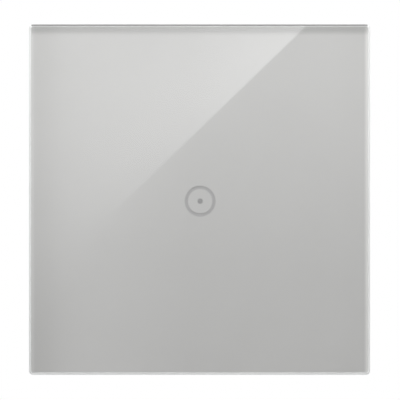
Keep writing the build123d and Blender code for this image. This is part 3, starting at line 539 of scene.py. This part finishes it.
def bar(size, place, taper=1.0, turn=0.0):  # a cutter with its lower end drawn in
    bpy.ops.object.select_all(action="DESELECT")
    bpy.ops.mesh.primitive_cube_add(size=1, location=[c * mm for c in place], rotation=(0, 0, turn),
                                    scale=[c * mm for c in size])
    cutter = bpy.context.active_object
    editing(cutter)
    pick(cutter, "faces", lambda f: -f.normal.z > squarely)
    bpy.ops.transform.resize(value=(taper, taper, 1))
    done()
    return cutter


def crossDrive(piece, top, reach, width, depth):
    size, place = (reach * 2, width, depth * 2), (0, 0, top)
    return cut(piece, *[bar(size, place, taper=0.6, turn=angle) for angle in (0, math.pi / 2)])


def slotDrive(piece, top, reach, width, depth):
    return cut(piece, bar((reach * 2.2, width, depth * 2), (0, 0, top)))  # runs out through the rim


def stood(piece, place, axis):  # turns the piece's height from +Z to the axis and puts its origin at place
    turn = Vector((0, 0, 1)).rotation_difference(Vector(axis)).to_matrix().to_4x4()
    piece.data.transform(Matrix.Translation([c * mm for c in place]) @ turn)
    return piece


shaded = 28  # turned pieces are smooth up to this angle, in degrees
clawScrew = {"head": 2.5, "headHeight": 1.6, "edge": 0.15, "dome": 0.3, "crest": 1.5, "root": 1.27,
             "tip": 0.75, "length": 12.0, "pitch": 0.5, "plain": 1.0, "cross": 1.5, "crossWidth": 0.62,
             "crossDepth": 1.0, "z": 26.5}
s = clawScrew
profile = threaded(-s["length"], -s["plain"], s["crest"], s["root"], s["pitch"])
profile[0] = (-s["length"], s["root"] * s["tip"])
profile += [(-s["plain"], s["crest"]), (0, s["crest"]), (0, s["head"] - s["edge"]),
            (s["edge"], s["head"])]
for drop, share in ((s["dome"] * 1.6, 1), (s["dome"], 0.96), (s["dome"] / 3, 0.8), (0, 0.62)):
    profile.append((s["headHeight"] - drop, s["head"] * share))
clawMaster = crossDrive(turned(profile), s["headHeight"], s["cross"], s["crossWidth"], s["crossDepth"])
smooth(clawMaster, shaded)
for end, name in ((1, "top"), (-1, "bottom")):
    copy = stood(twin(clawMaster), (0, -1, end * s["z"]), (0, -1, 0))
    settle(copy, "clawScrew" + name.title(), "claw_screw_" + name)
bpy.data.objects.remove(clawMaster)
print("claw screws made")

terminalScrew = {"head": 2.5, "headHeight": 1.6, "under": 0.12, "edge": 0.2, "crest": 1.5, "root": 1.27,
                 "tip": 0.8, "relief": 0.4, "length": 4.4, "pitch": 0.5, "slotWidth": 0.8, "slotDepth": 0.8,
                 "seat": 17.4, "y": 16.0, "z": 4.5}
s = terminalScrew
profile = threaded(-s["length"], -s["relief"], s["crest"], s["root"], s["pitch"])
profile[0] = (-s["length"], s["root"] * s["tip"])
profile += [(-s["relief"], s["root"]), (0, s["root"]), (0, s["head"] - s["under"]), (s["under"], s["head"]),
            (s["headHeight"] - s["edge"], s["head"]), (s["headHeight"], s["head"] - s["edge"])]
terminalMaster = slotDrive(turned(profile), s["headHeight"], s["head"], s["slotWidth"], s["slotDepth"])
smooth(terminalMaster, shaded)
for number, (side, end) in enumerate([(-1, 1), (-1, -1), (1, 1), (1, -1)], start=1):
    copy = stood(twin(terminalMaster), (side * s["seat"], s["y"], end * s["z"]), (side, 0, 0))
    settle(copy, f"terminalScrew{number}", f"terminal_screw_{number}")
bpy.data.objects.remove(terminalMaster)
print("terminal screws made")

plateScrew = {"head": 2.15, "rim": 0.1, "shank": 1.25, "root": 0.95, "tip": 0.25, "point": 0.9,
              "plain": 0.3, "length": 9.0, "pitch": 0.9, "cross": 1.35, "crossWidth": 0.55,
              "crossDepth": 0.7, "seat": -1}
s = plateScrew
neck = s["shank"] - s["head"]
profile = threaded(s["point"] - s["length"], neck - s["plain"], s["shank"], s["root"], s["pitch"])
profile = [(-s["length"], s["tip"])] + profile + [(neck - s["plain"], s["shank"]), (neck, s["shank"]),
                                                  (-s["rim"], s["head"]), (0, s["head"])]
plateMaster = crossDrive(turned(profile), 0, s["cross"], s["crossWidth"], s["crossDepth"])
smooth(plateMaster, shaded)
low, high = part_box("plate_screws")
reach = (high.x - low.x) / 2 / mm - s["head"]
ends = [(x * reach, z * reach) for x in (-1, 1) for z in (-1, 1)]
copies = [stood(twin(plateMaster), (x, s["seat"], z), (0, -1, 0)) for x, z in ends]
settle(joined(copies), "plateScrews", "plate_screws")
bpy.data.objects.remove(plateMaster)

coverScrew = {"head": 1.8, "headHeight": 0.85, "shank": 1.0, "root": 0.78, "tip": 0.3, "point": 0.5,
              "plain": 0.2, "pitch": 0.7, "cross": 1.15, "crossWidth": 0.45, "crossDepth": 0.45}
s = coverScrew
low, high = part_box("cover_screws")
seat = high.y / mm - s["headHeight"]
length = seat - low.y / mm
profile = threaded(s["point"] - length, -s["plain"], s["shank"], s["root"], s["pitch"])
profile = [(-length, s["tip"])] + profile + [(-s["plain"], s["shank"]), (0, s["shank"]), (0, s["head"])]
for up, share in ((0.6, 1), (0.9, 0.85), (1, 0.6)):
    profile.append((s["headHeight"] * up, s["head"] * share))
coverMaster = crossDrive(turned(profile), s["headHeight"], s["cross"], s["crossWidth"], s["crossDepth"])
smooth(coverMaster, shaded)
reach = (high.x - low.x) / 2 / mm - s["head"]
ends = [(x * reach, z * reach) for x in (-1, 1) for z in (-1, 1)]
copies = [stood(twin(coverMaster), (x, seat, z), (0, 1, 0)) for x, z in ends]
settle(joined(copies), "coverScrews", "cover_screws")
bpy.data.objects.remove(coverMaster)
print("plate and cover screws made")


# Light guide, coils and capacitor, also turned

guide = {"disc": 4.5, "edge": 0.1, "discDepth": 0.5, "depth": 1.2, "outer": 4.0, "inner": 3.15, "dot": 0.7,
         "place": (0.17, -5.65, -0.41), "sides": 64}
s = guide
back = s["discDepth"]
profile = [(0, s["disc"] - s["edge"]), (s["edge"], s["disc"]), (back, s["disc"]), (back, s["outer"]),
           (s["depth"], s["outer"]), (s["depth"], s["inner"]), (back, s["inner"]), (back, s["dot"]),
           (s["depth"], s["dot"])]
lightGuide = stood(smooth(turned(profile, s["sides"]), shaded), s["place"], (0, -1, 0))
settle(lightGuide, "lightGuide", "light_guide")
# painted shade: a darker copy of the milky guide, for its pin
dark = moulded("shadedGuide", {"colour": (0.262, 0.256, 0.259), "rough": 0.35, "spread": 0.02})
x, z = s["place"][0] * mm, s["place"][2] * mm
pin = (s["dot"] + 0.01) * mm  # painted shade: the pin carries less light than the ring, so it takes a darker copy of the guide's colour
faced(lightGuide, dark, lambda f: math.hypot(f.center.x - x, f.center.z - z) < pin)


def coil(name, node, place, height, bore, outer, wire):  # close turns of enamelled wire round an axis along Y
    turns = round(height / wire)
    step = height / turns
    profile = [(0, bore)]
    for turn in range(turns):
        start = turn * step
        for across, sunk in ((0, 0.4), (0.25, 0.06), (0.5, 0), (0.75, 0.06)):
            profile.append((start + step * across, outer - step * sunk))
    profile += [(height, outer - step * 0.4), (height, bore), (0, bore)]
    piece = smooth(turned(profile, sides=40, hollow=True), degrees=60)
    settle(stood(piece, place, (0, 1, 0)), name, node)


relayWinding = {"place": (0, 8.1, 2.2), "height": 6.0, "bore": 2.2, "outer": 3.8, "wire": 0.3}
chokeWinding = {"place": (3.5, 5.9, 13.25), "height": 5.4, "bore": 1.3, "outer": 2.27, "wire": 0.45}
coil("relayWinding", "relay_winding", **relayWinding)
coil("chokeWinding", "choke_winding", **chokeWinding)

can = {"radius": 2.6, "length": 11.0, "groove": 1.3, "place": (-3.6, 5.1, 13.25), "sides": 40,
       "foot": [(0, 0.35), (0.15, 0.1), (0.3, 0)],  # each height and how far it lies inside the radius
       "bead": [(-0.35, 0), (-0.1, 0.22), (0.1, 0.22), (0.35, 0)],
       "top": [(-0.3, 0), (-0.08, 0.1), (0, 0.3), (0, 0.55), (-0.12, 0.6)],
       "score": 1.2, "scoreWidth": 0.16, "scoreDepth": 0.1, "sleeveEnd": 0.3, "bare": 0.5}
s = can
r = s["radius"]
profile = []
for start, run in ((0, s["foot"]), (s["groove"], s["bead"]), (s["length"], s["top"])):
    profile += [(start + up, r - inside) for up, inside in run]
capacitor = turned(profile, s["sides"])
crossDrive(capacitor, profile[-1][0], s["score"], s["scoreWidth"], s["scoreDepth"])
stood(smooth(capacitor, shaded), s["place"], (0, 1, 0))
settle(capacitor, "electrolyticCapacitor", "electrolytic_capacitor")
bareTop = metal("canTop", {"colour": (0.7, 0.71, 0.72), "rough": 0.35})
x, y, z = (c * mm for c in s["place"])
top = y + (s["length"] - s["sleeveEnd"]) * mm
inner = (r - s["bare"]) * mm
faced(capacitor, bareTop, lambda f: f.center.y > top and math.hypot(f.center.x - x, f.center.z - z) < inner)
print("light guide, coils and capacitor made")


# Floor, world, lamps and the card that the glass reflects

room = {"floorZ": -0.16, "floorSize": 1.4, "farSize": 5.6, "farDrop": 0.0002, "floorRough": 0.7,
        "floorShade": 0.45, "floorTones": [(0.3, (0.88,) * 3), (0.7, (0.9,) * 3)], "floorNoise": 60,
        "world": 0.25}
lamps = {  # place, size and power of each soft lamp
    "frontLamp": ((0.0, -0.14, 0.17), (0.6, 0.1), 0.79), "backLamp": ((0.1, 0.5, 0.3), (0.6, 0.6), 1.7),
    "topLamp": ((0.0, 0.1, 0.9), (1.0, 1.0), 3.0),
}


def seenDirectly(t):  # 1 to the camera, in reflections and through glass
    path = t.add("LightPath")
    seen = t.sum("MAXIMUM", path.outputs["Is Camera Ray"], path.outputs["Is Glossy Ray"])
    return t.sum("MAXIMUM", seen, path.outputs["Is Transmission Ray"])


t = Tree("paleFloor")  # white where it is seen, but for part of its shade, and open from below
shade = t.shader(Base_Color=t.ramp(t.noise(room["floorNoise"]), room["floorTones"]))
shade.inputs["Roughness"].default_value = room["floorRough"]
shade = t.mixed(t.sum("MULTIPLY", seenDirectly(t), 1 - room["floorShade"]), shade, t.add("Emission"))
below = t.add("NewGeometry").outputs["Backfacing"]
paleFloor = t.close(t.mixed(below, shade, t.add("BsdfTransparent")))


def unseen(made, *rays):
    for ray in rays:
        setattr(made, "visible_" + ray, False)


def ground(name, size, height):
    bpy.ops.object.select_all(action="DESELECT")
    bpy.ops.mesh.primitive_grid_add(x_subdivisions=4, y_subdivisions=4, size=size, location=(0, 0, height))
    made = bpy.context.active_object
    made.name = name
    made.data.materials.append(paleFloor)
    return made


ground("floor", room["floorSize"], room["floorZ"])
farFloor = ground("farFloor", room["farSize"], room["floorZ"] - room["farDrop"])
unseen(farFloor, "diffuse", "glossy", "transmission", "shadow", "volume_scatter")  # for the camera alone

world = bpy.data.worlds.new("softStudio")
bpy.context.scene.world = world
world.use_nodes = True
t = Tree(world)
lit = t.add("Background", Strength=room["world"])
white = t.add("Background", Strength=1.0)
for background in (lit, white):
    background.inputs["Color"].default_value = (1, 1, 1, 1)
t.close(t.mixed(seenDirectly(t), lit, white))


def lamp(name, place, size, power):
    bpy.ops.object.light_add(type="AREA", location=place)
    made = bpy.context.active_object
    made.name = name
    made.data.shape = "RECTANGLE"
    made.data.size, made.data.size_y = size
    made.data.energy = power
    made.rotation_euler = (-made.location).to_track_quat("-Z", "Y").to_euler()
    unseen(made, "camera", "glossy", "transmission")


for name, (place, size, power) in lamps.items():
    lamp(name, place, size, power)

# The card hangs in front of the glass and only reflections see it. Its bright half ends along a diagonal.
# Its own y, size and plain middle are in millimetres. The rest is measured on the glass, and growth is how
# much larger the card is than its image there.
card = {"y": -300, "size": 200, "plain": 56, "growth": 1.182, "edge": 18.27, "slope": 1.035,
        "low": -36.0, "high": 44.0, "strong": 3.5, "fade": (0.18, 37.2), "sharp": 0.35,
        "soft": 0.78, "softLow": -25.3, "softHigh": 53.7, "blur": 7.6, "half": 44, "washGain": 2.0,
        "wash": [(0.0, 0.0), (0.05, 0.25), (0.1, 0.65), (0.16, 0.8), (0.25, 0.8), (0.48, 0.5), (0.9, 0.5),
                 (1.0, 0.35)],
        "levels": [(-16.7, 17.5, 0.44), (29.8, 41.1, -0.29)]}  # between which heights, and how much
bpy.ops.object.select_all(action="DESELECT")
bpy.ops.mesh.primitive_plane_add(size=card["size"] * mm, location=(0, card["y"] * mm, 0),
                                 rotation=(math.pi / 2, 0, 0))
sheet = bpy.context.active_object
only(sheet)
bpy.ops.object.transform_apply(location=True, rotation=True, scale=True)
sheet.name = "paleCard"
t = Tree("cardLight")
unit = mm * card["growth"]
spot = t.add("TexCoord").outputs["Object"]


def measured(direction):
    node = t.add("VectorMath", Vector=spot)
    node.operation = "DOT_PRODUCT"
    node.inputs[1].default_value = direction
    return node.outputs["Value"]


lean = Vector((card["slope"], 0, 1)).normalized()
along = measured(lean)
across = measured((-lean.z, 0, lean.x))
line = card["edge"] * lean.x * unit
strong = t.spread(along, 0.0, card["strong"], card["low"] * unit, card["high"] * unit, True)
end, reach = card["fade"]
strong = t.sum("MULTIPLY", strong, t.spread(across, 1.0, end, line, line + reach * unit))
strong = t.sum("MULTIPLY", strong, t.spread(across, 0.0, 1.0, line - card["sharp"] * unit,
                                            line + card["sharp"] * unit))
soft = t.spread(along, card["soft"], 0.0, card["softLow"] * unit, card["softHigh"] * unit)
soft = t.sum("MULTIPLY", soft, t.spread(across, 0.0, 1.0, line - card["blur"] * unit,
                                        line + card["blur"] * unit))
sides = t.spread(measured((1, 0, 0)), 0.0, 1.0, -card["half"] * unit, card["half"] * unit)
wash = t.ramp(sides, [(at, (grey,) * 3) for at, grey in card["wash"]])
level = t.sum("ADD", t.sum("ADD", strong, soft), t.sum("MULTIPLY", wash, card["washGain"]))
for start, end, change in card["levels"]:
    level = t.sum("ADD", level, t.spread(measured((0, 0, 1)), 0.0, change, start * unit, end * unit))
out = measured((1, 0, 0))
for direction in ((-1, 0, 0), (0, 0, 1), (0, 0, -1)):
    out = t.sum("MAXIMUM", out, measured(direction))
out = t.spread(out, 0.0, 1.0, card["plain"] * mm, card["size"] / 2 * mm, True)  # fades out to its border
glow = t.mixed(out, t.add("Emission", Strength=level), t.add("BsdfTransparent"))
sheet.data.materials.append(t.close(glow))
unseen(sheet, "camera", "diffuse", "transmission", "shadow", "volume_scatter")
print("room made")
